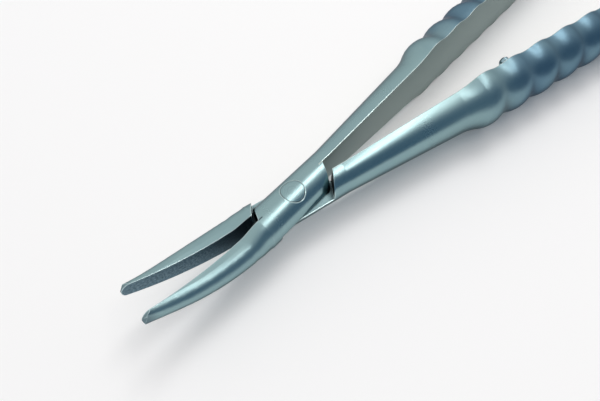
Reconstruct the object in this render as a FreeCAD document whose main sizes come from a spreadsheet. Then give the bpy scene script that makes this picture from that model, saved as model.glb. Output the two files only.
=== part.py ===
import FreeCAD, Part
import math
import os
import re
import Sketcher
from FreeCAD import Placement, Rotation, Vector

# Micro needle holder with curved jaws, a lap joint and sprung half-round handles.
# The jaws point to -X and the handles to +X; the pivot axis is parallel to Z.
# It lies on the ridges of its handles. Lengths are in millimetres, angles in degrees.
# The levers are drawn closed about the pivot axis and then turned apart to rest.

DRIVING_SIZES = (
    ("jaw_reach", 18.3, "pivot axis to the jaw tips"),
    ("jaw_angle", 10.0, "angle between the gripping faces at rest"),
    ("jaw_gap", 0.02, "play between the closed gripping faces"),
    ("jaw_width", 2.1, "depth of one jaw behind its gripping face"),
    ("jaw_tip_width", 0.36, "depth of one jaw at its tip"),
    ("jaw_thinning", 5.5, "pivot axis to where a jaw begins to thin"),
    ("jaw_roundness", 0.98, "rounding of a jaw's outside, as a share of half its size"),
    ("jaw_half", 1.48, "half the height of a gripping face behind the joint"),
    ("jaw_tip_half", 0.78, "half the height of a gripping face at the tip"),
    ("jaw_shoulder", 7.3, "pivot axis to where the joint has blended into the jaw"),
    ("face_stock", 0.3, "stock cut away from the gripping face"),
    ("curve_start", 6.5, "pivot axis to where the jaws begin to curve upwards"),
    ("curve_radius", 27.0, "radius of that curve"),
    ("nose_radius", 0.85, "rounding of the jaw tips, seen from the side"),
    ("tip_round", 0.5, "rounding of the jaw tips, seen from above"),
    ("lap_radius", 2.1, "radius of the half-round joint"),
    ("lap_reach", 4.75, "pivot axis to the shoulders of the lap"),
    ("lap_slant", 28.0, "slant of the shoulders"),
    ("lap_gap", 0.04, "play between the two laps"),
    ("shoulder_gap", 0.1, "play at the shoulders when closed"),
    ("head_radius", 1.23, "head of the pivot pin"),
    ("head_play", 0.04, "radial play round the head"),
    ("head_floor", 1.0, "height of the head's seat above the lap"),
    ("foot_radius", 1.1, "riveted foot of the pivot pin"),
    ("foot_floor", 1.1, "depth of the foot's seat below the lap"),
    ("pin_radius", 0.75, "shank of the pivot pin"),
    ("running_play", 0.02, "radial play of pins in their holes"),
    ("handle_splay", 4.0, "angle left between the handle faces when closed"),
    ("handle_gap", 0.2, "distance between the handle faces at the pivot axis"),
    ("shank_start", 6.0, "pivot axis to where the shank begins to thicken"),
    ("flare_start", 22.3, "pivot axis to where the shank flares into the grip"),
    ("flare_radius", 3.0, "radius of the shank there"),
    ("ridge_radius", 3.88, "radius of the grip over its ridges"),
    ("valley_radius", 3.5, "radius of the grip between its ridges"),
    ("ridge_pitch", 4.65, "ridge to ridge"),
    ("first_ridge", 26.3, "pivot axis to the first ridge"),
    ("ridge_count", 10, "ridges on each handle"),
    ("heel_radius", 3.05, "radius of the smooth heel behind the ridges"),
    ("heel_blend", 2.4, "length over which the last ridge falls to the heel"),
    ("handle_reach", 83.0, "pivot axis to the rear end of a handle"),
    ("heel_round", 2.0, "rounding of the handle's rear end"),
    ("stop_station", 33.9, "pivot axis to the stop pin"),
    ("stop_radius", 0.7, "radius of the stop pin"),
    ("stop_depth", 2.0, "depth of the stop pin in its handle"),
    ("stop_chamfer", 0.25, "chamfer of its free end"),
    ("leaf_thickness", 0.7, "thickness of a leaf spring"),
    ("leaf_width", 5.0, "width of a leaf spring"),
    ("leaf_overlap", 10.2, "length over which a leaf lies on its handle"),
    ("leaf_corner", 1.5, "rounding of the corners at both ends of a leaf"),
    ("bow_lead", 0.6, "straight part of a leaf behind the end of its handle"),
    ("rivet_inset", 2.6, "rivet to the end of a leaf"),
    ("rivet_pitch", 4.4, "rivet to rivet"),
    ("rivet_radius", 0.6, "shank of a rivet"),
    ("rivet_head", 1.15, "radius of a rivet's head"),
    ("rivet_rim", 0.8, "radius of the flat top of a rivet's head"),
    ("rivet_height", 0.4, "height of a rivet's head"),
    ("rivet_depth", 1.8, "depth of a rivet in its handle"),
    ("tail_reach", 136.0, "pivot axis to the rear end of the tail"),
    ("tail_tab", 9.6, "length over which the leaves lie together"),
    ("tail_spacer", 1.0, "thickness of the plate between the leaves"),
)

# Half the angle between the handle faces at rest
REST_SPLAY = "((jaw_angle + handle_splay) / 2)"
# Distance of a leaf's middle from the plane through the pivot axis
LEAF_OFFSET = "((handle_gap - leaf_thickness) / 2)"
# Distance of a leaf's middle from the plane of symmetry at the tail
TAIL_OFFSET = "((tail_spacer + leaf_thickness) / 2)"
# Pivot axis to the start of the leaf's bow, measured along the handle's face
BOW_STATION = "(handle_reach + bow_lead)"
# Where a jaw grows out of the joint, between its own and the other lever's shoulder
JAW_START = "-(lap_reach + shoulder_gap / 2)"

doc = FreeCAD.newDocument("NeedleHolder")
sheet = doc.addObject("Spreadsheet::Sheet", "Sizes")
for row, (alias, size, meaning) in enumerate(DRIVING_SIZES, 1):
    sheet.set(f"A{row}", meaning)
    sheet.set(f"B{row}", str(size))
    sheet.setAlias(f"B{row}", alias)
doc.recompute()


def bound(text):
    # Every size's name holds an underscore, which no function's name does
    return re.sub(r"[a-z]+(?:_[a-z]+)+", r"Sizes.\g<0>", text)


def number(text):
    result = sheet.evalExpression(bound(text))
    return float(getattr(result, "Value", result))


def newBody(name):
    body = doc.addObject("PartDesign::Body", name)
    body.Label = name
    return body


def newSketch(body, name, role, base=("0", "0", "0"), axis=Vector(0, 0, 1), angle="0"):
    plane = next(item for item in body.Origin.OriginFeatures if item.Role == role)
    sketch = body.newObject("Sketcher::SketchObject", name)
    sketch.AttachmentSupport = [(plane, "")]
    sketch.MapMode = "FlatFace"
    origin = Vector(*[number(text) for text in base])
    sketch.AttachmentOffset = Placement(origin, Rotation(axis, number(angle)))
    for letter, text in zip("xyz", base):
        if text != "0":
            sketch.setExpression("AttachmentOffset.Base." + letter, bound(text))
    if number(angle):
        sketch.setExpression("AttachmentOffset.Rotation.Angle", bound(angle))
    return sketch


def arcBetween(start, end, radius, turn):
    # At most half a circle; turn is 1 for an anticlockwise arc and -1 for a clockwise one
    chord = end.sub(start)
    rise = math.sqrt(max(radius ** 2 - (chord.Length / 2) ** 2, 0))
    left = Vector(-chord.y, chord.x, 0).normalize()
    centre = (start + end) * 0.5 + left * rise * turn
    first, last = (start, end) if turn > 0 else (end, start)
    first_angle = math.atan2(first.y - centre.y, first.x - centre.x)
    last_angle = math.atan2(last.y - centre.y, last.x - centre.x)
    circle = Part.Circle(centre, Vector(0, 0, 1), radius)
    return Part.ArcOfCircle(circle, first_angle, last_angle)


def constrain(sketch, kind, value, *where):
    index = sketch.addConstraint(Sketcher.Constraint(kind, *where, number(value)))
    sketch.setExpression(f"Constraints[{index}]", bound(value))


def outline(sketch, steps):
    # A step is x, y and, where an arc leads to that point, its radius and turn
    corners = [Vector(number(step[0]), number(step[1]), 0) for step in steps]
    ends = []
    for index, step in enumerate(steps):
        start = corners[index - 1]
        if len(step) > 2:
            radius, turn = step[2:]
            edge = sketch.addGeometry(arcBetween(start, corners[index], number(radius), turn))
            constrain(sketch, "Radius", radius, edge)
            ends.append((edge, 1, 2) if turn > 0 else (edge, 2, 1))
        else:
            edge = sketch.addGeometry(Part.LineSegment(start, corners[index]))
            ends.append((edge, 1, 2))
    for index, step in enumerate(steps):
        edge, _, last = ends[index]
        after, after_first, _ = ends[(index + 1) % len(steps)]
        sketch.addConstraint(Sketcher.Constraint("Coincident", edge, last, after, after_first))
        for kind, axis_edge, value in (("DistanceX", -2, step[0]), ("DistanceY", -1, step[1])):
            if value == "0":
                sketch.addConstraint(Sketcher.Constraint("PointOnObject", edge, last, axis_edge))
            else:
                constrain(sketch, kind, value, -1, 1, edge, last)


def circleAt(sketch, x, y, radius):
    centre = Vector(number(x), number(y), 0)
    edge = sketch.addGeometry(Part.Circle(centre, Vector(0, 0, 1), number(radius)))
    constrain(sketch, "Radius", radius, edge)
    for kind, axis_edge, value in (("DistanceX", -2, x), ("DistanceY", -1, y)):
        if value == "0":
            sketch.addConstraint(Sketcher.Constraint("PointOnObject", edge, 3, axis_edge))
        else:
            constrain(sketch, kind, value, -1, 1, edge, 3)


def revolve(body, sketch, kind, axis, angle=360):
    feature = body.newObject("PartDesign::" + kind, f"{sketch.Name}_{kind.lower()}")
    feature.Profile = sketch
    feature.ReferenceAxis = (sketch, [axis])
    feature.Angle = angle
    feature.Midplane = True
    return feature


def extrude(body, sketch, kind, length):
    # Half of the length lies on each side of the sketch
    feature = body.newObject("PartDesign::" + kind, f"{sketch.Name}_{kind.lower()}")
    feature.Profile = sketch
    feature.SideType = "Symmetric"
    feature.setExpression("Length", bound(length))
    return feature


def place(item, x, y, z, angle="0"):
    item.Placement = Placement(Vector(number(x), number(y), number(z)), Rotation(Vector(0, 0, 1), number(angle)))
    for path, text in (("Base.x", x), ("Base.y", y), ("Base.z", z), ("Rotation.Angle", angle)):
        if text != "0":
            item.setExpression("Placement." + path, bound(text))


def placeFromPivot(item, x="0", y="0", angle="0"):
    place(item, f"(jaw_reach - tail_reach) / 2 + {x}", y, "ridge_radius", angle)


def placeOnLeaf(item, side, station, offset):
    # At a distance along a handle's face and an offset outwards from the pivot axis
    x = f"({station}) * cos({REST_SPLAY}) - ({offset}) * sin({REST_SPLAY})"
    y = f"{side} * (({station}) * sin({REST_SPLAY}) + ({offset}) * cos({REST_SPLAY}))"
    placeFromPivot(item, x, y, f"{side} * {REST_SPLAY}")


def mirrored(steps, side):
    # The same outline for the lever on the other side of the plane of symmetry
    turned = []
    for step in steps:
        arc = (step[2], side * step[3]) if len(step) > 2 else ()
        turned.append((step[0], step[1] if step[1] == "0" else f"{side} * ({step[1]})", *arc))
    return turned


def handleOutline():
    middle = "(ridge_radius + valley_radius) / 2"
    wave = "(ridge_radius - valley_radius)"
    wave_radius = f"((ridge_pitch / 4) ^ 2 + ({wave} / 2) ^ 2) / {wave}"
    grip_start = "first_ridge - ridge_pitch / 4"
    steps = [
        ("0", "0"),
        ("0", "lap_radius"),
        ("shank_start", "lap_radius"),
        ("flare_start", "flare_radius"),
        (grip_start, middle, "2 * ridge_pitch", 1),
    ]
    ridges = round(number("ridge_count"))
    for half_wave in range(1, 2 * ridges):
        turn = -1 if half_wave % 2 else 1
        steps.append((f"{grip_start} + {half_wave} * ridge_pitch / 2", middle, wave_radius, turn))
    grip_end = f"{grip_start} + {2 * ridges - 1} * ridge_pitch / 2"
    steps += [
        (f"{grip_end} + heel_blend", "heel_radius", "2 * ridge_pitch", 1),
        ("handle_reach - heel_round", "heel_radius"),
        ("handle_reach", "heel_radius - heel_round", "heel_round", -1),
        ("handle_reach", "0"),
    ]
    return steps


def barSketch(body, name, side):
    # A plan sketch whose X axis is the axis of the lever's bar
    base = (
        "-handle_gap / 2 * sin(handle_splay / 2)",
        f"{side} * handle_gap / 2 * cos(handle_splay / 2)",
        "0",
    )
    return newSketch(body, name, "XY_Plane", base, angle=f"{side} * handle_splay / 2")


def addHandle(body, side):
    # A turned bar cut flat along its axis, and whole where it passes through the joint
    handle = barSketch(body, body.Name + "_handle", side)
    outline(handle, mirrored(handleOutline(), side))
    revolve(body, handle, "Revolution", "H_Axis", 180)
    joint = barSketch(body, body.Name + "_joint", side)
    outline(joint, mirrored([
        (JAW_START, "0"),
        (JAW_START, "lap_radius"),
        ("lap_reach", "lap_radius"),
        ("lap_reach", "0"),
    ], side))
    revolve(body, joint, "Revolution", "H_Axis")


def jawCentre(station):
    # Height and slope of the line that the jaws follow as they curve upwards
    rise = f"asin(max(0; {station} - curve_start) / curve_radius)"
    return f"curve_radius * (1 - cos({rise}))", rise


def jawRoot(body, side):
    # The round section of the joint, on the axis of the lever's bar
    base = (
        f"{side} * ({JAW_START} * sin(handle_splay / 2) + handle_gap / 2 * cos(handle_splay / 2))",
        "0",
        f"{JAW_START} * cos(handle_splay / 2) - handle_gap / 2 * sin(handle_splay / 2)",
    )
    name = body.Name + "_jaw_root"
    sketch = newSketch(body, name, "YZ_Plane", base, Vector(0, 1, 0), f"{side} * handle_splay / 2")
    jawOutline(sketch, side, "lap_radius", "lap_radius")
    return sketch


def jawSection(body, side, name, station):
    blend = f"(max(0; (jaw_shoulder - {station}) / (jaw_shoulder + {JAW_START})))"
    taper = f"(max(0; {station} - jaw_shoulder) / (jaw_reach - jaw_shoulder))"
    half = (
        f"(jaw_half + (lap_radius - jaw_half) * {blend} ^ 2 * (3 - 2 * {blend})"
        f" - (jaw_half - jaw_tip_half) * {taper})"
    )
    thinning = f"(max(0; {station} - jaw_thinning) / (jaw_reach - jaw_thinning))"
    depth = f"(jaw_width - (jaw_width - jaw_tip_width) * {thinning} ^ 2)"
    height, rise = jawCentre(station)
    base = ("0", height, f"-{station}")
    sketch = newSketch(body, f"{body.Name}_{name}_section", "YZ_Plane", base, Vector(1, 0, 0), rise)
    jawOutline(sketch, side, half, depth)
    return sketch


def jawOutline(sketch, side, half, depth):
    # Flat on top, round on the outside, and some way past the gripping face
    corner = f"(jaw_roundness * min({half}; {depth}))"
    flat_end = f"{-side} * ({depth} - {corner})"
    wall = f"{-side} * {depth}"
    stock = f"{side} * face_stock"
    outline(sketch, [
        (stock, half),
        (flat_end, half),
        (wall, f"{half} - {corner}", corner, side),
        (wall, f"{corner} - {half}"),
        (flat_end, f"-{half}", corner, side),
        (stock, f"-{half}"),
    ])


def addJaw(body, side):
    # One loft from the joint to the jaw's shoulder and one from there to the tip
    blend = [f"(jaw_shoulder - (jaw_shoulder + {JAW_START}) * {left})" for left in (0.92, 0.65, 0.35, 0)]
    taper = [f"(jaw_shoulder + (jaw_reach - jaw_shoulder) * {step} / 4)" for step in range(5)]
    sections = [jawRoot(body, side)]
    sections += [jawSection(body, side, f"blend{index}", station) for index, station in enumerate(blend)]
    addLoft(body, "blend", sections)
    sections = [jawSection(body, side, f"jaw{index}", station) for index, station in enumerate(taper)]
    addLoft(body, "jaw", sections)


def addLoft(body, name, sections):
    loft = body.newObject("PartDesign::AdditiveLoft", f"{body.Name}_{name}")
    loft.Profile = sections[0]
    loft.Sections = sections[1:]


def addLap(body, side):
    # Lever a keeps the upper half of the joint and lever b the lower half
    wide = "(2 * lap_radius)"
    lean = f"({wide} * tan(lap_slant))"
    other = "(lap_reach + shoulder_gap)"

    face = newSketch(body, body.Name + "_face", "XY_Plane")
    outline(face, mirrored([
        ("-lap_reach", "-jaw_gap / 2"),
        (f"-lap_reach + {lean}", wide),
        ("-2 * jaw_reach", wide),
        ("-2 * jaw_reach", "-jaw_gap / 2"),
    ], side))
    extrude(body, face, "Pocket", "2 * jaw_reach")

    shoulder = barSketch(body, body.Name + "_shoulder", side)
    outline(shoulder, mirrored([
        ("lap_reach", "0"),
        (f"lap_reach - {lean}", f"-{wide}"),
        ("2 * lap_reach", f"-{wide}"),
        ("2 * lap_reach", "0"),
    ], side))
    extrude(body, shoulder, "Pocket", "4 * lap_radius")

    halving = barSketch(body, body.Name + "_halving", side)
    halving.setExpression("AttachmentOffset.Base.z", bound(f"{-side} * (2 * lap_radius - lap_gap / 2)"))
    outline(halving, mirrored([
        (f"-{other}", "0"),
        (f"-{other} + {lean}", f"-{wide}"),
        (other, f"-{wide}"),
        (other, "0"),
        (f"{other} - {lean}", wide),
        (f"-{other}", wide),
    ], side))
    extrude(body, halving, "Pocket", "4 * lap_radius")


def roundTip(body, side):
    # Round off the tip as seen from the side, and then as seen from above
    height, rise = jawCentre("jaw_reach")
    nose = newSketch(body, body.Name + "_nose", "XZ_Plane", ("-jaw_reach", height, "0"), angle="-" + rise)
    outline(nose, [
        ("nose_radius", "nose_radius"),
        ("0", "0", "nose_radius", 1),
        ("nose_radius", "-nose_radius", "nose_radius", 1),
        ("nose_radius", "-2 * nose_radius"),
        ("-nose_radius", "-2 * nose_radius"),
        ("-nose_radius", "2 * nose_radius"),
        ("nose_radius", "2 * nose_radius"),
    ])
    extrude(body, nose, "Pocket", "4 * lap_radius")

    base = ("-jaw_reach", "0", height)
    tip = newSketch(body, body.Name + "_tip", "XY_Plane", base, Vector(0, 1, 0), rise)
    outline(tip, mirrored([
        ("0", "-jaw_gap"),
        ("tip_round", "-jaw_gap - tip_round", "tip_round", 1),
        ("tip_round", "-2 * lap_radius"),
        ("-tip_round", "-2 * lap_radius"),
        ("-tip_round", "-jaw_gap"),
    ], side))
    extrude(body, tip, "Pocket", "4 * lap_radius")


def addPivotHole(body, side):
    sketch = newSketch(body, body.Name + "_pivot_hole", "XZ_Plane")
    shank = "pin_radius + running_play"
    end = "2 * lap_radius"
    if side > 0:
        wide = "head_radius + head_play"
        floor = "head_floor"
    else:
        wide = "foot_radius + running_play"
        floor = "foot_floor"
    outline(sketch, [
        ("0", f"{-side} * ({end})"),
        (shank, f"{-side} * ({end})"),
        (shank, f"{side} * ({floor})"),
        (wide, f"{side} * ({floor})"),
        (wide, f"{side} * ({end})"),
        ("0", f"{side} * ({end})"),
    ])
    revolve(body, sketch, "Groove", "V_Axis")


def faceSketch(body, name, side, angle, offset):
    # A sketch on a plane that stands upright at an angle to the X axis
    base = (f"-({offset}) * sin({angle})", "0", f"{-side} * ({offset}) * cos({angle})")
    return newSketch(body, name, "XZ_Plane", base, Vector(0, 1, 0), f"{side} * {angle}")


def rivetStations():
    first = "handle_reach - leaf_overlap + rivet_inset"
    return (first, first + " + rivet_pitch")


def addRivetHoles(body, side):
    sketch = faceSketch(body, body.Name + "_rivet_holes", side, "(handle_splay / 2)", "handle_gap / 2")
    for station in rivetStations():
        circleAt(sketch, station, "0", "rivet_radius + running_play")
    extrude(body, sketch, "Pocket", "2 * rivet_depth")


def addStopHole(body, side):
    sketch = faceSketch(body, body.Name + "_stop_hole", side, "(handle_splay / 2)", "handle_gap / 2")
    circleAt(sketch, "stop_station", "0", "stop_radius + running_play")
    extrude(body, sketch, "Pocket", "2 * stop_depth")


def makeLever(name, side):
    # side is 1 for the lever whose handle is on +Y and whose lap is on top
    body = newBody(name)
    addHandle(body, side)
    addJaw(body, side)
    addLap(body, side)
    roundTip(body, side)
    addPivotHole(body, side)
    addRivetHoles(body, side)
    if side < 0:
        addStopHole(body, side)
    placeFromPivot(body, angle=f"{side} * jaw_angle / 2")
    return body


def makePivotPin():
    # Its ends are ground flush with the half-round joint
    blank = newBody("pivot_pin_blank")
    sketch = newSketch(blank, "pivot_pin_outline", "XZ_Plane")
    outline(sketch, [
        ("0", "-2 * lap_radius"),
        ("foot_radius", "-2 * lap_radius"),
        ("foot_radius", "-foot_floor"),
        ("pin_radius", "-foot_floor"),
        ("pin_radius", "head_floor + running_play"),
        ("head_radius", "head_floor + running_play"),
        ("head_radius", "2 * lap_radius"),
        ("0", "2 * lap_radius"),
    ])
    revolve(blank, sketch, "Revolution", "V_Axis")
    placeFromPivot(blank)

    joint = newBody("pivot_pin_limit")
    for side in (1, -1):
        base = (f"{side} * handle_gap / 2 * cos({REST_SPLAY})", "0", f"-handle_gap / 2 * sin({REST_SPLAY})")
        half = newSketch(joint, f"joint_half{side + 1}", "YZ_Plane", base, Vector(0, 1, 0), f"{side} * {REST_SPLAY}")
        outline(half, [
            ("lap_radius", "0"),
            ("0", f"{side} * lap_radius", "lap_radius", side),
            ("-lap_radius", "0", "lap_radius", side),
        ])
        extrude(joint, half, "Pad", "4 * lap_radius")
    placeFromPivot(joint)

    pin = doc.addObject("Part::Common", "pivot_pin")
    pin.Base = blank
    pin.Tool = joint
    return pin


def makeStopPin():
    # It meets the other handle's face as the jaws close
    name = "stop_pin"
    body = newBody(name)
    sketch = newSketch(body, name + "_outline", "XY_Plane")
    reach = "((stop_station - stop_radius) * tan(handle_splay) + handle_gap - jaw_gap)"
    outline(sketch, mirrored([
        ("0", f"-{reach}"),
        ("stop_radius - stop_chamfer", f"-{reach}"),
        ("stop_radius", f"-{reach} + stop_chamfer"),
        ("stop_radius", "stop_depth"),
        ("0", "stop_depth"),
    ], -1))
    revolve(body, sketch, "Revolution", "V_Axis")
    placeOnLeaf(body, -1, "stop_station", "handle_gap / 2")
    return body


def leafOutline():
    # Straight on the handle, bowed out past its end and back to the tail
    bow_x = f"({BOW_STATION} * cos({REST_SPLAY}) - {LEAF_OFFSET} * sin({REST_SPLAY}))"
    bow_y = f"({BOW_STATION} * sin({REST_SPLAY}) + {LEAF_OFFSET} * cos({REST_SPLAY}))"
    run = f"(tail_reach - tail_tab - {bow_x})"
    drop = f"({bow_y} - {TAIL_OFFSET})"
    slack = f"({run} * (1 + cos({REST_SPLAY})) - {drop} * sin({REST_SPLAY}))"
    fall = f"(atan({drop} / {run}) + acos({slack} / (2 * sqrt({drop} ^ 2 + {run} ^ 2))))"
    radius = f"({run} / (sin({REST_SPLAY}) + 2 * sin({fall})))"

    def along(station, offset):
        x = f"({station}) * cos({REST_SPLAY}) - ({LEAF_OFFSET} + {offset}) * sin({REST_SPLAY})"
        y = f"({station}) * sin({REST_SPLAY}) + ({LEAF_OFFSET} + {offset}) * cos({REST_SPLAY})"
        return x, y

    def bend(offset):
        x = f"{bow_x} + {radius} * (sin({REST_SPLAY}) + sin({fall})) + {offset} * sin({fall})"
        y = f"{bow_y} + {radius} * (cos({fall}) - cos({REST_SPLAY})) + {offset} * cos({fall})"
        return x, y

    outer = "leaf_thickness / 2"
    inner = "-leaf_thickness / 2"
    outer_y = f"{TAIL_OFFSET} + {outer}"
    inner_y = f"{TAIL_OFFSET} + {inner}"
    return [
        along("handle_reach - leaf_overlap", outer),
        along(BOW_STATION, outer),
        (*bend(outer), f"{radius} + {outer}", -1),
        ("tail_reach - tail_tab", outer_y, f"{radius} - {outer}", 1),
        ("tail_reach", outer_y),
        ("tail_reach", inner_y),
        ("tail_reach - tail_tab", inner_y),
        (*bend(inner), f"{radius} + {outer}", -1),
        (*along(BOW_STATION, inner), f"{radius} - {outer}", 1),
        along("handle_reach - leaf_overlap", inner),
    ]


def tailRivetStations():
    last = "tail_reach - rivet_inset"
    return (last + " - rivet_pitch", last)


def roundCorners(body, *ends):
    # The short edges across the sheet at the ends that are named by their X
    doc.recompute()
    base = body.Tip
    corners = []
    for index, edge in enumerate(base.Shape.Edges):
        middle = edge.CenterOfMass
        at_end = any(abs(middle.x - number(end)) < number("leaf_thickness") for end in ends)
        if at_end and abs(edge.tangentAt(edge.FirstParameter).z) < 0.5 and edge.Length < 2 * number("leaf_thickness"):
            corners.append(f"Edge{index + 1}")
    fillet = body.newObject("PartDesign::Fillet", body.Name + "_corners")
    fillet.Base = (base, corners)
    fillet.setExpression("Radius", bound("leaf_corner"))


def makeLeaf(name, side):
    body = newBody(name)
    sketch = newSketch(body, name + "_outline", "XY_Plane")
    outline(sketch, mirrored(leafOutline(), side))
    extrude(body, sketch, "Pad", "leaf_width")
    roundCorners(body, f"(handle_reach - leaf_overlap) * cos({REST_SPLAY})", "tail_reach")
    root_holes = faceSketch(body, name + "_root_holes", side, REST_SPLAY, LEAF_OFFSET)
    for station in rivetStations():
        circleAt(root_holes, station, "0", "rivet_radius + running_play")
    extrude(body, root_holes, "Pocket", "2 * leaf_thickness")
    tail_holes = newSketch(body, name + "_tail_holes", "XZ_Plane")
    for station in tailRivetStations():
        circleAt(tail_holes, station, "0", "rivet_radius + running_play")
    extrude(body, tail_holes, "Pocket", "4 * (tail_spacer + leaf_thickness)")
    placeFromPivot(body)
    return body


def makeLeafRivet(name, side, station):
    body = newBody(name)
    sketch = newSketch(body, name + "_outline", "XY_Plane")
    outline(sketch, mirrored([
        ("0", "leaf_thickness + rivet_depth"),
        ("rivet_radius", "leaf_thickness + rivet_depth"),
        ("rivet_radius", "0"),
        ("rivet_head", "0"),
        ("rivet_rim", "-rivet_height"),
        ("0", "-rivet_height"),
    ], side))
    revolve(body, sketch, "Revolution", "V_Axis")
    placeOnLeaf(body, side, station, "handle_gap / 2 - leaf_thickness")
    return body


def makeTailPlate(name):
    body = newBody(name)
    sketch = newSketch(body, name + "_outline", "XZ_Plane")
    outline(sketch, [
        ("tail_reach - tail_tab", "-leaf_width / 2"),
        ("tail_reach", "-leaf_width / 2"),
        ("tail_reach", "leaf_width / 2"),
        ("tail_reach - tail_tab", "leaf_width / 2"),
    ])
    extrude(body, sketch, "Pad", "tail_spacer")
    roundCorners(body, "tail_reach - tail_tab", "tail_reach")
    holes = newSketch(body, name + "_holes", "XZ_Plane")
    for station in tailRivetStations():
        circleAt(holes, station, "0", "rivet_radius + running_play")
    extrude(body, holes, "Pocket", "2 * tail_spacer")
    placeFromPivot(body)
    return body


def makeTailRivet(name, station):
    body = newBody(name)
    sketch = newSketch(body, name + "_outline", "XY_Plane")
    level = "(tail_spacer / 2 + leaf_thickness)"
    outline(sketch, [
        ("0", f"-{level} - rivet_height"),
        ("rivet_rim", f"-{level} - rivet_height"),
        ("rivet_head", f"-{level}"),
        ("rivet_radius", f"-{level}"),
        ("rivet_radius", level),
        ("rivet_head", level),
        ("rivet_rim", f"{level} + rivet_height"),
        ("0", f"{level} + rivet_height"),
    ])
    revolve(body, sketch, "Revolution", "V_Axis")
    placeFromPivot(body, station)
    return body


nodes = [
    makeLever("lever_a", 1),
    makeLever("lever_b", -1),
    makePivotPin(),
    makeStopPin(),
    makeTailPlate("tail_plate"),
]
for letter, side in (("a", 1), ("b", -1)):
    nodes.append(makeLeaf("leaf_spring_" + letter, side))
    for position, station in zip(("front", "rear"), rivetStations()):
        nodes.append(makeLeafRivet(f"rivet_{letter}_{position}", side, station))
for position, station in zip(("front", "rear"), tailRivetStations()):
    nodes.append(makeTailRivet("tail_rivet_" + position, station))

doc.recompute()
for item in doc.Objects:
    if "Invalid" in item.State or "Error" in item.State:
        raise RuntimeError(f"{item.Label} failed: {item.State}")

os.makedirs("parts", exist_ok=True)
for node in nodes:
    shape = node.Shape
    if shape.isNull() or not shape.isValid() or len(shape.Solids) != 1:
        raise RuntimeError(node.Label + " is not one valid solid")
    shape.exportStep(f"parts/{node.Label}.step")
    print(node.Label, round(shape.Volume, 2), "mm3")
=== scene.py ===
import bpy, bmesh, math
from mathutils import Matrix, Vector


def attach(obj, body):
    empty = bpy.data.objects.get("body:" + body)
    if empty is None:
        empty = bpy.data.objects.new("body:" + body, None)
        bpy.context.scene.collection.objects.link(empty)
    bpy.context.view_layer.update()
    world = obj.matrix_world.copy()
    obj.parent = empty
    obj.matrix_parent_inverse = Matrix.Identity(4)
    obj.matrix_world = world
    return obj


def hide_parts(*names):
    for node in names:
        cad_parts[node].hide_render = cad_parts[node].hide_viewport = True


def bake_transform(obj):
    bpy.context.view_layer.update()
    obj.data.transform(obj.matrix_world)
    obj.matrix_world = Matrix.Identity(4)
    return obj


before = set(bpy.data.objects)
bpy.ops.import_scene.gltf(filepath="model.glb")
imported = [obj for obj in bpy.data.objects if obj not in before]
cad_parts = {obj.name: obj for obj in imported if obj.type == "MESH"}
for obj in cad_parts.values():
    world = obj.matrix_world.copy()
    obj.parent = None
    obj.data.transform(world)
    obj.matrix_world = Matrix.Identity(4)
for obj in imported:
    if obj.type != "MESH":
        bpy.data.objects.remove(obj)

print("needle holder: frame loaded")
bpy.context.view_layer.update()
mm = 0.001

# the joint: where the levers cross, and how far each is turned open at rest
joint = {"x": -58.85 * mm, "z": 3.88 * mm, "leverTurn": 5.0}

# the camera stands low over the jaws and looks along the handles
camera = {
    "place": (-77.45 * mm, -21.11 * mm, 46.76 * mm),
    "looksAlong": (0.3751, 0.4034, -0.8346),
    "level": (0.7323, -0.6810, 0.0),
    "roll": 0.75,
    "lens": 30.0,
    "sensor": 36.0,
    "near": 0.001,
    "far": 20.0,
}


def placeCamera():
    forward = Vector(camera["looksAlong"]).normalized()
    right = Vector(camera["level"]).normalized()
    up = right.cross(forward)
    roll = math.radians(camera["roll"])
    turnedRight = right * math.cos(roll) + up * math.sin(roll)
    turnedUp = up * math.cos(roll) - right * math.sin(roll)
    data = bpy.data.cameras.new("camera")
    data.sensor_width = camera["sensor"]
    data.lens = camera["lens"]
    data.clip_start = camera["near"]
    data.clip_end = camera["far"]
    cam = bpy.data.objects.new("camera", data)
    bpy.context.collection.objects.link(cam)
    axes = Matrix((turnedRight, turnedUp, -forward)).transposed()
    cam.matrix_world = Matrix.Translation(camera["place"]) @ axes.to_4x4()
    bpy.context.scene.camera = cam


placeCamera()
print("camera in place")


# a socket is linked, and anything else is set as the input's value
def feed(tree, socket, value):
    if isinstance(value, bpy.types.NodeSocket):
        tree.links.new(value, socket)
    else:
        socket.default_value = value


def addMath(tree, operation, first, second=0.0):
    node = tree.nodes.new("ShaderNodeMath")
    node.operation = operation
    feed(tree, node.inputs[0], first)
    feed(tree, node.inputs[1], second)
    return node.outputs[0]


def addSum(tree, first, second):
    return addMath(tree, "ADD", first, second)


def addProduct(tree, first, second):
    return addMath(tree, "MULTIPLY", first, second)


def addVector(tree, operation, first, second=(0, 0, 0), output="Vector"):
    node = tree.nodes.new("ShaderNodeVectorMath")
    node.operation = operation
    feed(tree, node.inputs[0], first)
    feed(tree, node.inputs[1], second)
    return node.outputs[output]


def addRange(tree, value, fromMin, fromMax, toMin=0.0, toMax=1.0):
    node = tree.nodes.new("ShaderNodeMapRange")
    node.interpolation_type = "SMOOTHSTEP"
    labels = ("Value", "From Min", "From Max", "To Min", "To Max")
    for label, given in zip(labels, (value, fromMin, fromMax, toMin, toMax)):
        feed(tree, node.inputs[label], given)
    return node.outputs["Result"]


def addMix(tree, factor, first, second):
    node = tree.nodes.new("ShaderNodeMix")
    node.data_type = "RGBA"
    feed(tree, node.inputs["Factor"], factor)
    feed(tree, node.inputs["A"], first)
    feed(tree, node.inputs["B"], second)
    return node.outputs["Result"]


# nearly all values of a noise lie in the span, and most of them in its core
noiseSpan = (0.3, 0.7)
noiseCore = (0.35, 0.65)


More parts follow.
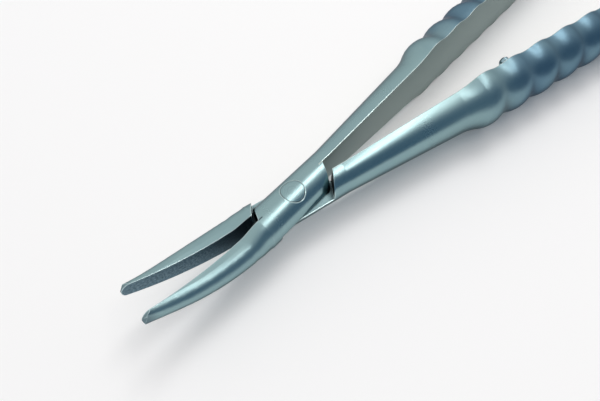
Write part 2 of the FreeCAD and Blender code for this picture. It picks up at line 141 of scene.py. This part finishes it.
def addNoise(tree, vector, detail=3.0, roughness=0.5):
    node = tree.nodes.new("ShaderNodeTexNoise")
    node.inputs["Scale"].default_value = 1.0
    node.inputs["Detail"].default_value = detail
    node.inputs["Roughness"].default_value = roughness
    tree.links.new(vector, node.inputs["Vector"])
    return node.outputs["Fac"]


def addScaled(tree, vector, scale):
    node = tree.nodes.new("ShaderNodeVectorMath")
    node.operation = "SCALE"
    feed(tree, node.inputs[0], vector)
    feed(tree, node.inputs["Scale"], scale)
    return node.outputs["Vector"]


def splitAxes(tree, vector):
    node = tree.nodes.new("ShaderNodeSeparateXYZ")
    feed(tree, node.inputs[0], vector)
    return node.outputs


def addBackground(tree, colour, strength):
    node = tree.nodes.new("ShaderNodeBackground")
    feed(tree, node.inputs["Color"], colour)
    feed(tree, node.inputs["Strength"], strength)
    return node.outputs[0]


# a sheet of white paper
floorPaper = {
    "halfWidth": 3.0,
    "colour": (0.81, 0.81, 0.805),
    "roughness": 0.6,
    "shine": 0.2,
    "glow": 0.1,
}


def layFloor():
    bm = bmesh.new()
    bmesh.ops.create_grid(bm, x_segments=1, y_segments=1, size=floorPaper["halfWidth"])
    mesh = bpy.data.meshes.new("floor")
    bm.to_mesh(mesh)
    bm.free()
    floor = bpy.data.objects.new("floor", mesh)
    bpy.context.collection.objects.link(floor)
    mat = bpy.data.materials.new("floor")
    mat.use_nodes = True
    tree = mat.node_tree
    shader = tree.nodes["Principled BSDF"]
    shader.inputs["Base Color"].default_value = (*floorPaper["colour"], 1)
    shader.inputs["Roughness"].default_value = floorPaper["roughness"]
    shader.inputs["Specular IOR Level"].default_value = floorPaper["shine"]
    # to the eye and in the metal the paper is a little brighter than as a source of light
    shader.inputs["Emission Color"].default_value = (1, 1, 1, 1)
    ray = tree.nodes.new("ShaderNodeLightPath").outputs
    seen = addMath(tree, "MAXIMUM", ray["Is Camera Ray"], ray["Is Glossy Ray"])
    feed(tree, shader.inputs["Emission Strength"], addProduct(tree, seen, floorPaper["glow"]))
    mesh.materials.append(mat)


layFloor()
print("floor laid")

# a dim room on one side, a bright one on the other, a long lamp overhead
# and a window on the bright side; the backdrop is what shows beyond the paper
studio = {
    "brightSide": (0.93, 0.91, 0.9),
    "darkSide": (0.135, 0.21, 0.295),
    "darkFrom": -0.75,
    "brightFrom": 0.1,
    "backdrop": 0.63,
    "lampPlace": (0.17, -0.04, 0.5),
    "lampSize": (0.5, 0.065),
    "lampTwist": -17.0,
    "lampPower": 0.62,
    "lampColour": (1.0, 0.92, 0.88),
    "windowPlace": (0.28, 0.2, 0.6),
    "windowSize": 0.3,
    "windowPower": 1.7,
    "paperShare": 0.88,
}


def hangLamp(name, lampPlace, target, power):
    data = bpy.data.lights.new(name, "AREA")
    data.energy = power
    lamp = bpy.data.objects.new(name, data)
    bpy.context.collection.objects.link(lamp)
    lamp.location = lampPlace
    lamp.rotation_euler = (target - Vector(lampPlace)).to_track_quat("-Z", "Y").to_euler()
    return lamp


def lightStudio():
    world = bpy.data.worlds.new("studio")
    bpy.context.scene.world = world
    world.use_nodes = True
    tree = world.node_tree
    tree.nodes.clear()
    ray = tree.nodes.new("ShaderNodeLightPath").outputs
    direction = splitAxes(tree, tree.nodes.new("ShaderNodeTexCoord").outputs["Generated"])
    side = addRange(tree, direction["Y"], studio["darkFrom"], studio["brightFrom"])
    tint = addMix(tree, side, (*studio["darkSide"], 1), (*studio["brightSide"], 1))
    # the paper gets only a share of the room's light
    share = addRange(tree, ray["Is Diffuse Ray"], 0.0, 1.0, 1.0, studio["paperShare"])
    choose = tree.nodes.new("ShaderNodeMixShader")
    feed(tree, choose.inputs["Fac"], ray["Is Camera Ray"])
    feed(tree, choose.inputs[1], addBackground(tree, tint, share))
    feed(tree, choose.inputs[2], addBackground(tree, (1, 1, 1, 1), studio["backdrop"]))
    out = tree.nodes.new("ShaderNodeOutputWorld")
    feed(tree, out.inputs["Surface"], choose.outputs[0])

    target = Vector((joint["x"], 0, 0))
    lamp = hangLamp("softbox", studio["lampPlace"], target, studio["lampPower"])
    lamp.data.shape = "RECTANGLE"
    lamp.data.color = studio["lampColour"]
    lamp.data.size, lamp.data.size_y = studio["lampSize"]
    lamp.rotation_euler.rotate_axis("Z", math.radians(studio["lampTwist"]))
    # the metal already mirrors the bright side, so the window only lights the paper
    window = hangLamp("window", studio["windowPlace"], target, studio["windowPower"])
    window.data.shape = "SQUARE"
    window.data.size = studio["windowSize"]
    window.visible_glossy = False


lightStudio()
print("light set")


def startGroup(name, inputs, outputs):
    group = bpy.data.node_groups.new(name, "ShaderNodeTree")
    for label, kind, value in inputs:
        socket = group.interface.new_socket(
            name=label, in_out="INPUT", socket_type="NodeSocket" + kind
        )
        if value is not None:
            socket.default_value = value
    for label, kind in outputs:
        group.interface.new_socket(name=label, in_out="OUTPUT", socket_type="NodeSocket" + kind)
    given = group.nodes.new("NodeGroupInput").outputs
    result = group.nodes.new("NodeGroupOutput").inputs
    return group, given, result


def makeBrushedGrain():
    # fine scratches that run along X
    group, given, result = startGroup(
        "brushedGrain",
        [("Vector", "Vector", None), ("Fineness", "Float", 30000.0), ("Stretch", "Float", 6.0)],
        [("Height", "Float")],
    )
    scale = group.nodes.new("ShaderNodeCombineXYZ")
    feed(group, scale.inputs["X"], addMath(group, "DIVIDE", given["Fineness"], given["Stretch"]))
    feed(group, scale.inputs["Y"], given["Fineness"])
    feed(group, scale.inputs["Z"], given["Fineness"])
    stretched = addVector(group, "MULTIPLY", given["Vector"], scale.outputs[0])
    feed(group, result["Height"], addNoise(group, stretched, roughness=0.6))
    return group


def makeBlastedGrain():
    # the fine speckle of a surface blasted with beads
    group, given, result = startGroup(
        "blastedGrain",
        [("Vector", "Vector", None), ("Fineness", "Float", 9000.0)],
        [("Height", "Float")],
    )
    place = addScaled(group, given["Vector"], given["Fineness"])
    speckle = addNoise(group, place, roughness=0.7)
    feed(group, result["Height"], addRange(group, speckle, *noiseSpan))
    return group


def makeOxideTone():
    # the oxide film is thicker in some places, which shifts its colour
    group, given, result = startGroup(
        "oxideTone",
        [
            ("Vector", "Vector", None),
            ("Thin Film", "Color", None),
            ("Thick Film", "Color", None),
            ("Thickness", "Float", 0.5),
            ("Unevenness", "Float", 0.3),
            ("Fineness", "Float", 260.0),
        ],
        [("Color", "Color")],
    )
    place = addScaled(group, given["Vector"], given["Fineness"])
    cloud = addNoise(group, place, roughness=0.55)
    uneven = addProduct(group, addMath(group, "SUBTRACT", cloud, 0.5), given["Unevenness"])
    thickness = addRange(group, addSum(group, given["Thickness"], uneven), 0.0, 1.0)
    feed(group, result["Color"], addMix(group, thickness, given["Thin Film"], given["Thick Film"]))
    return group


def makeNearPlane():
    # 1 on the plane Y = 0 and 0 from a little way off
    group, given, result = startGroup(
        "nearPlane",
        [("Vector", "Vector", None), ("Reach", "Float", 0.04 * mm)],
        [("Mask", "Float")],
    )
    away = addMath(group, "ABSOLUTE", splitAxes(group, given["Vector"])["Y"])
    end = addProduct(group, given["Reach"], 2.0)
    feed(group, result["Mask"], addRange(group, away, given["Reach"], end, 1.0, 0.0))
    return group


# the brighter edges, partly wear and partly painted highlight, and the bend set in where the
# bevelled normal departs from the surface's own one
edgeLight = {
    "samples": 12,
    "radius": 0.13 * mm,
    "wearAndGlintFrom": 0.99,
    "wearAndGlintTo": 0.93,
    "bendFrom": 0.995,
    "bendTo": 0.97,
    "bend": 0.5,
}


def makeSoftEdge():
    # rounds the light over sharp edges and paints them brighter, partly as wear and partly as
    # painted highlight
    group, given, result = startGroup(
        "softEdge",
        [("Radius", "Float", edgeLight["radius"])],
        [("Edge", "Float"), ("Normal", "Vector")],
    )
    bevel = group.nodes.new("ShaderNodeBevel")
    bevel.samples = edgeLight["samples"]
    feed(group, bevel.inputs["Radius"], given["Radius"])
    own = group.nodes.new("ShaderNodeNewGeometry").outputs["Normal"]
    agreement = addVector(group, "DOT_PRODUCT", bevel.outputs[0], own, "Value")
    # this mask brightens the edges: partly wear, partly painted highlight
    wornAndGlinting = addRange(group, agreement, edgeLight["wearAndGlintFrom"], edgeLight["wearAndGlintTo"])
    feed(group, result["Edge"], wornAndGlinting)
    # away from the edges the surface keeps its own normal
    share = addRange(
        group, agreement, edgeLight["bendFrom"], edgeLight["bendTo"], 0.0, edgeLight["bend"]
    )
    bend = addScaled(group, addVector(group, "SUBTRACT", bevel.outputs[0], own), share)
    bent = addVector(group, "ADD", own, bend)
    feed(group, result["Normal"], addVector(group, "NORMALIZE", bent))
    return group


# the share of a point's surroundings that is open in a closed and in an open seam
seam = {"samples": 16, "distance": 0.9 * mm, "closed": 0.2, "open": 0.75}


def makeSeamShade():
    # painted shade: darkens the colour where two faces nearly meet
    group, given, result = startGroup(
        "seamShade",
        [("Distance", "Float", seam["distance"])],
        [("Open", "Float")],
    )
    shade = group.nodes.new("ShaderNodeAmbientOcclusion")
    shade.samples = seam["samples"]
    feed(group, shade.inputs["Distance"], given["Distance"])
    clear = addRange(group, shade.outputs["AO"], seam["closed"], seam["open"])
    feed(group, result["Open"], clear)
    return group


brushedGrain = makeBrushedGrain()
blastedGrain = makeBlastedGrain()
oxideTone = makeOxideTone()
nearPlane = makeNearPlane()
softEdge = makeSoftEdge()
seamShade = makeSeamShade()
print("finishes ready")


# an underscore stands for the space in a socket's name
def useGroup(tree, group, **values):
    node = tree.nodes.new("ShaderNodeGroup")
    node.node_tree = group
    for label, value in values.items():
        feed(tree, node.inputs[label.replace("_", " ")], value)
    return node.outputs


def addFilm(tree, place, finish, thickness, unevenness):
    return useGroup(
        tree, oxideTone, Vector=place, Thin_Film=finish["thinFilm"],
        Thick_Film=finish["thickFilm"], Thickness=thickness, Unevenness=unevenness,
    )["Color"]


# the colour that the oxide film takes at grazing angles
edgeTint = (0.38, 0.33, 0.34)


def startMetal(name):
    mat = bpy.data.materials.new(name)
    mat.use_nodes = True
    tree = mat.node_tree
    shader = tree.nodes["Principled BSDF"]
    shader.inputs["Metallic"].default_value = 1.0
    shader.inputs["Specular Tint"].default_value = (*edgeTint, 1)
    place = tree.nodes.new("ShaderNodeTexCoord").outputs["Object"]
    return mat, tree, shader, place


def alongPiece(tree, place, origin, turn):
    # coordinates that start at the origin and whose X runs along the piece
    node = tree.nodes.new("ShaderNodeMapping")
    node.vector_type = "TEXTURE"
    node.inputs["Location"].default_value = origin
    node.inputs["Rotation"].default_value = (0, 0, math.radians(turn))
    tree.links.new(place, node.inputs["Vector"])
    return node.outputs["Vector"]


def addBump(tree, height, strength, normal, depth=0.02 * mm):
    node = tree.nodes.new("ShaderNodeBump")
    node.inputs["Strength"].default_value = strength
    node.inputs["Distance"].default_value = depth
    feed(tree, node.inputs["Height"], height)
    feed(tree, node.inputs["Normal"], normal)
    return node.outputs["Normal"]


# satin blue-green levers with ground inner flats and dark gripping faces
leverFinish = {
    "thinFilm": (0.264, 0.398, 0.416, 1),
    "thickFilm": (0.115, 0.215, 0.295, 1),
    "unevenness": 0.5,
    "roughness": 0.25,
    "softerFrom": 13 * mm,
    "softerTo": 26 * mm,
    "softerBy": 0.1,
    "jawRoughness": 0.34,
    "jawFrom": -2 * mm,
    "jawTo": -6.5 * mm,
    "tipColour": (0.12, 0.17, 0.2, 1),
    "tipFrom": -16.8 * mm,
    "tipTo": -18.2 * mm,
    "tipShare": 0.75,
    "flatColour": (0.44, 0.525, 0.51, 1),
    "flatRoughness": 0.42,
    "gripPale": (0.29, 0.41, 0.47, 1),
    "gripDark": (0.11, 0.18, 0.22, 1),
    "gripRoughness": 0.5,
    "gripFineness": 4500.0,
    # painted shade on the gripping faces towards the joint
    "rootShadeFrom": -12 * mm,
    "rootShadeTo": -5 * mm,
    "rootShadeShare": 0.75,
    # brighter colour for scratches and edges; on the edges it is partly painted highlight
    "wearAndGlintColour": (0.6, 0.76, 0.77, 1),
    "edgeRadius": 0.18 * mm,
    "frontWearAndGlint": 0.75,
    "gripWearAndGlint": 0.2,
    "wearPolish": 0.5,
    "grainColour": 0.03,
    "grainRoughness": (-0.008, 0.012),
    "grainRelief": 0.05,
    "bump": 0.16,
    # painted shade colour, for seams and for the gripping faces near the joint
    "paintedShadeColour": (0.02, 0.03, 0.035, 1),
    "axisTurn": 7.0,
    "axisOffset": 0.1 * mm,
    "shoulder": 4.2 * mm,
    "bluerFrom": 22 * mm,
    "bluerTo": 34 * mm,
    "frontFilm": 0.12,
    "gripFilm": 0.75,
}


def makeLeverMetal(name, side):
    finish = leverFinish
    mat, tree, shader, place = startMetal(name)
    turn = math.radians(finish["axisTurn"])
    offset = finish["axisOffset"]
    barFoot = (joint["x"] - offset * math.sin(turn), side * offset * math.cos(turn), joint["z"])
    bar = alongPiece(tree, place, barFoot, side * finish["axisTurn"])
    jaw = alongPiece(tree, place, (joint["x"], 0, joint["z"]), side * joint["leverTurn"])
    station = splitAxes(tree, bar)["X"]

    behind = addMath(tree, "GREATER_THAN", station, finish["shoulder"])
    ahead = addMath(tree, "LESS_THAN", station, -finish["shoulder"])
    flat = addProduct(tree, useGroup(tree, nearPlane, Vector=bar)["Mask"], behind)
    gripping = addProduct(tree, useGroup(tree, nearPlane, Vector=jaw)["Mask"], ahead)

    def between(start, stop, first, last):
        # runs from the first value to the last one between two stations of the lever
        return addRange(tree, station, finish[start], finish[stop], first, last)

    # the film is thicker on the grips
    thickness = between("bluerFrom", "bluerTo", finish["frontFilm"], finish["gripFilm"])
    film = addFilm(tree, bar, finish, thickness, finish["unevenness"])
    grain = useGroup(tree, brushedGrain, Vector=bar)["Height"]
    speckle = useGroup(tree, blastedGrain, Vector=jaw, Fineness=finish["gripFineness"])["Height"]
    edge = useGroup(tree, softEdge, Radius=finish["edgeRadius"])
    clear = useGroup(tree, seamShade)["Open"]

    scratched = addRange(tree, grain, *noiseCore, 0.0, finish["grainColour"])
    colour = addMix(tree, scratched, film, finish["wearAndGlintColour"])
    tip = between("tipTo", "tipFrom", finish["tipShare"], 0.0)
    colour = addMix(tree, tip, colour, finish["tipColour"])
    colour = addMix(tree, flat, colour, finish["flatColour"])
    grip = addMix(tree, speckle, finish["gripDark"], finish["gripPale"])
    # painted shade: the gripping faces darken towards the joint
    root = between("rootShadeFrom", "rootShadeTo", 0.0, finish["rootShadeShare"])
    grip = addMix(tree, root, grip, finish["paintedShadeColour"])
    colour = addMix(tree, gripping, colour, grip)
    # painted highlight together with wear: the edges take a brighter colour, more at the front
    # than on the grips
    edgeWearAndGlint = between("softerFrom", "softerTo", finish["frontWearAndGlint"], finish["gripWearAndGlint"])
    edgeWearAndGlint = addProduct(tree, edgeWearAndGlint, edge["Edge"])
    colour = addMix(tree, edgeWearAndGlint, colour, finish["wearAndGlintColour"])
    # painted shade: the colour darkens towards the shade colour where little of the surroundings
    # is open
    feed(tree, shader.inputs["Base Color"], addMix(tree, clear, finish["paintedShadeColour"], colour))

    rough = between("jawTo", "jawFrom", finish["jawRoughness"], finish["roughness"])
    softer = between("softerFrom", "softerTo", 0.0, finish["softerBy"])
    rough = addSum(tree, rough, softer)
    rough = addSum(tree, rough, addRange(tree, grain, *noiseSpan, *finish["grainRoughness"]))
    for mask, matt in ((flat, finish["flatRoughness"]), (gripping, finish["gripRoughness"])):
        rough = addSum(tree, rough, addProduct(tree, mask, matt - finish["roughness"]))
    # handling polishes the edges
    polish = addMath(tree, "SUBTRACT", 1.0, addProduct(tree, edgeWearAndGlint, finish["wearPolish"]))
    feed(tree, shader.inputs["Roughness"], addProduct(tree, rough, polish))

    pits = addProduct(tree, speckle, gripping)
    relief = addSum(tree, pits, addProduct(tree, grain, finish["grainRelief"]))
    feed(tree, shader.inputs["Normal"], addBump(tree, relief, finish["bump"], edge["Normal"]))
    return mat


# the pivot pin is ground flush, in rings round its own axis
pinFinish = {
    "thinFilm": (0.264, 0.398, 0.416, 1),
    "thickFilm": (0.165, 0.28, 0.345, 1),
    "thickness": 0.15,
    "unevenness": 0.4,
    "roughness": 0.24,
    "rings": 30000.0,
    "ringRoughness": (0.0, 0.04),
    "bump": 0.03,
    "rimFrom": 1.15 * mm,
    "rimTo": 1.21 * mm,
    "rimShare": 0.4,
    "rimColour": (0.03, 0.05, 0.06, 1),
    "edgeRadius": 0.03 * mm,
}


def makePivotMetal(name):
    finish = pinFinish
    mat, tree, shader, place = startMetal(name)
    head = alongPiece(tree, place, (joint["x"], 0, joint["z"]), 0)
    axes = splitAxes(tree, head)
    squares = [addProduct(tree, axes[axis], axes[axis]) for axis in "XY"]
    reach = addMath(tree, "SQRT", addSum(tree, *squares))
    ringPlace = tree.nodes.new("ShaderNodeCombineXYZ")
    feed(tree, ringPlace.inputs["X"], addProduct(tree, reach, finish["rings"]))
    rings = addNoise(tree, ringPlace.outputs[0], detail=1.0)
    film = addFilm(tree, head, finish, finish["thickness"], finish["unevenness"])
    rim = addRange(tree, reach, finish["rimFrom"], finish["rimTo"], 0.0, finish["rimShare"])
    feed(tree, shader.inputs["Base Color"], addMix(tree, rim, film, finish["rimColour"]))
    rough = [finish["roughness"] + change for change in finish["ringRoughness"]]
    feed(tree, shader.inputs["Roughness"], addRange(tree, rings, *noiseSpan, *rough))
    edge = useGroup(tree, softEdge, Radius=finish["edgeRadius"])
    feed(tree, shader.inputs["Normal"], addBump(tree, rings, finish["bump"], edge["Normal"]))
    return mat


# springs and the plate between them are rolled sheet, brushed along their length
springFinish = {
    "thinFilm": (0.25, 0.39, 0.42, 1),
    "thickFilm": (0.17, 0.29, 0.4, 1),
    "roughness": 0.28,
    "wearAndGlintColour": (0.5, 0.66, 0.68, 1),
    "paintedShadeColour": (0.03, 0.04, 0.05, 1),
    "grainShare": (1.0, 0.03, 1.0),
    "fineness": 12000.0,
    "stretch": 30.0,
}

# rivets and the stop pin have smoother, brighter heads
rivetFinish = {
    "thinFilm": (0.33, 0.47, 0.49, 1),
    "thickFilm": (0.2, 0.33, 0.44, 1),
    "roughness": 0.2,
    "wearAndGlintColour": (0.6, 0.72, 0.73, 1),
    "paintedShadeColour": (0.03, 0.04, 0.05, 1),
    "grainShare": (1.0, 1.0, 1.0),
    "fineness": 20000.0,
    "stretch": 2.0,
}

# what the springs and the rivets share
smallFinish = {
    "thickness": 0.45,
    "unevenness": 0.6,
    "edgeWearAndGlint": 0.6,
    "grainColour": 0.1,
    "grainRoughness": (-0.02, 0.04),
    "bump": 0.05,
}


def makeSmallMetal(name, finish):
    mat, tree, shader, place = startMetal(name)
    film = addFilm(tree, place, finish, smallFinish["thickness"], smallFinish["unevenness"])
    # the springs are bent after they are brushed, so their grain hardly follows Y
    brushed = addVector(tree, "MULTIPLY", place, finish["grainShare"])
    grain = useGroup(
        tree, brushedGrain, Vector=brushed,
        Fineness=finish["fineness"], Stretch=finish["stretch"],
    )["Height"]
    edge = useGroup(tree, softEdge)
    clear = useGroup(tree, seamShade)["Open"]

    scratched = addRange(tree, grain, *noiseCore, 0.0, smallFinish["grainColour"])
    colour = addMix(tree, scratched, film, finish["wearAndGlintColour"])
    # painted highlight together with wear: the edges take a brighter colour
    edgeWearAndGlint = addProduct(tree, edge["Edge"], smallFinish["edgeWearAndGlint"])
    colour = addMix(tree, edgeWearAndGlint, colour, finish["wearAndGlintColour"])
    # painted shade: the colour darkens towards the shade colour where little of the surroundings
    # is open
    feed(tree, shader.inputs["Base Color"], addMix(tree, clear, finish["paintedShadeColour"], colour))
    rough = [finish["roughness"] + change for change in smallFinish["grainRoughness"]]
    feed(tree, shader.inputs["Roughness"], addRange(tree, grain, *noiseSpan, *rough))
    feed(tree, shader.inputs["Normal"], addBump(tree, grain, smallFinish["bump"], edge["Normal"]))
    return mat


def dress(material, *names):
    for name in names:
        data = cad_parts[name].data
        data.materials.clear()
        data.materials.append(material)


springMetal = makeSmallMetal("springMetal", springFinish)
rivetMetal = makeSmallMetal("rivetMetal", rivetFinish)
dress(makeLeverMetal("leverMetalA", 1), "lever_a")
dress(makeLeverMetal("leverMetalB", -1), "lever_b")
dress(makePivotMetal("pivotMetal"), "pivot_pin")
dress(springMetal, "leaf_spring_a", "leaf_spring_b", "tail_plate")
dress(rivetMetal, "stop_pin", "rivet_a_front", "rivet_a_rear", "rivet_b_front", "rivet_b_rear")
dress(rivetMetal, "tail_rivet_front", "tail_rivet_rear")
print("metal finished")

# where the leaf springs leave the handles and meet the tail, the rows that they are cut into,
# and the shares of the way at which one of them is parted into lengths
springLay = {
    "rootX": 24.0 * mm,
    "rootY": 10.2 * mm,
    "tailX": 67.55 * mm,
    "tailY": 0.85 * mm,
    "rows": 24,
    "sharpAngle": math.radians(30),
    "weld": 1e-6,
    "sliver": 1e-7,
    "lengths": (0, 0.3, 0.5, 0.65, 0.78, 0.89, 1),
}


def cutSpring(bm, point, along, **cleared):
    everything = bm.verts[:] + bm.edges[:] + bm.faces[:]
    bmesh.ops.bisect_plane(
        bm, geom=everything, dist=springLay["sliver"], plane_co=point, plane_no=along, **cleared
    )


def copySpring(name, node, root, lay, first=None, last=None):
    bm = bmesh.new()
    bm.from_mesh(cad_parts[node].data)
    bmesh.ops.remove_doubles(bm, verts=bm.verts, dist=springLay["weld"])
    # sharp edges are marked before the cuts, because the cuts leave slivers beside them
    for edge in bm.edges:
        edge.smooth = edge.calc_face_angle(math.pi) < springLay["sharpAngle"]
    for row in range(springLay["rows"] + 1):
        cutSpring(bm, root + lay * row / springLay["rows"], lay)
    if first is not None:
        cutSpring(bm, root + lay * first, lay, clear_inner=True)
    if last is not None:
        cutSpring(bm, root + lay * last, lay, clear_outer=True)
    bmesh.ops.dissolve_degenerate(bm, edges=bm.edges, dist=springLay["sliver"])
    bmesh.ops.recalc_face_normals(bm, faces=bm.faces)
    for face in bm.faces:
        face.smooth = True
    mesh = bpy.data.meshes.new(name)
    bm.to_mesh(mesh)
    bm.free()
    mesh.materials.append(springMetal)
    piece = bpy.data.objects.new(name, mesh)
    bpy.context.collection.objects.link(piece)
    return piece


def hangSprings():
    root = Vector((springLay["rootX"], -springLay["rootY"], joint["z"]))
    lay = Vector((springLay["tailX"], -springLay["tailY"], joint["z"])) - root
    springB = copySpring("spring_b", "leaf_spring_b", root, lay)
    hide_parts("leaf_spring_b")
    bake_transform(springB)

    # the other leaf lies mirrored across the joint; it is parted into lengths,
    # and its tail tab goes with the tail body
    root.y, lay.y = -root.y, -lay.y
    lengths = springLay["lengths"]
    for number, (first, last) in enumerate(zip(lengths, lengths[1:])):
        name = f"spring_a_{number + 1}"
        piece = copySpring(name, "leaf_spring_a", root, lay, first or None, last)
        if number == 0:
            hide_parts("leaf_spring_a")
        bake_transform(piece)
    tab = copySpring("spring_a_tab", "leaf_spring_a", root, lay, lengths[-1])
    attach(tab, "tail_body")


hangSprings()
print("springs hung")

bpy.context.scene.view_settings.view_transform = "Standard"
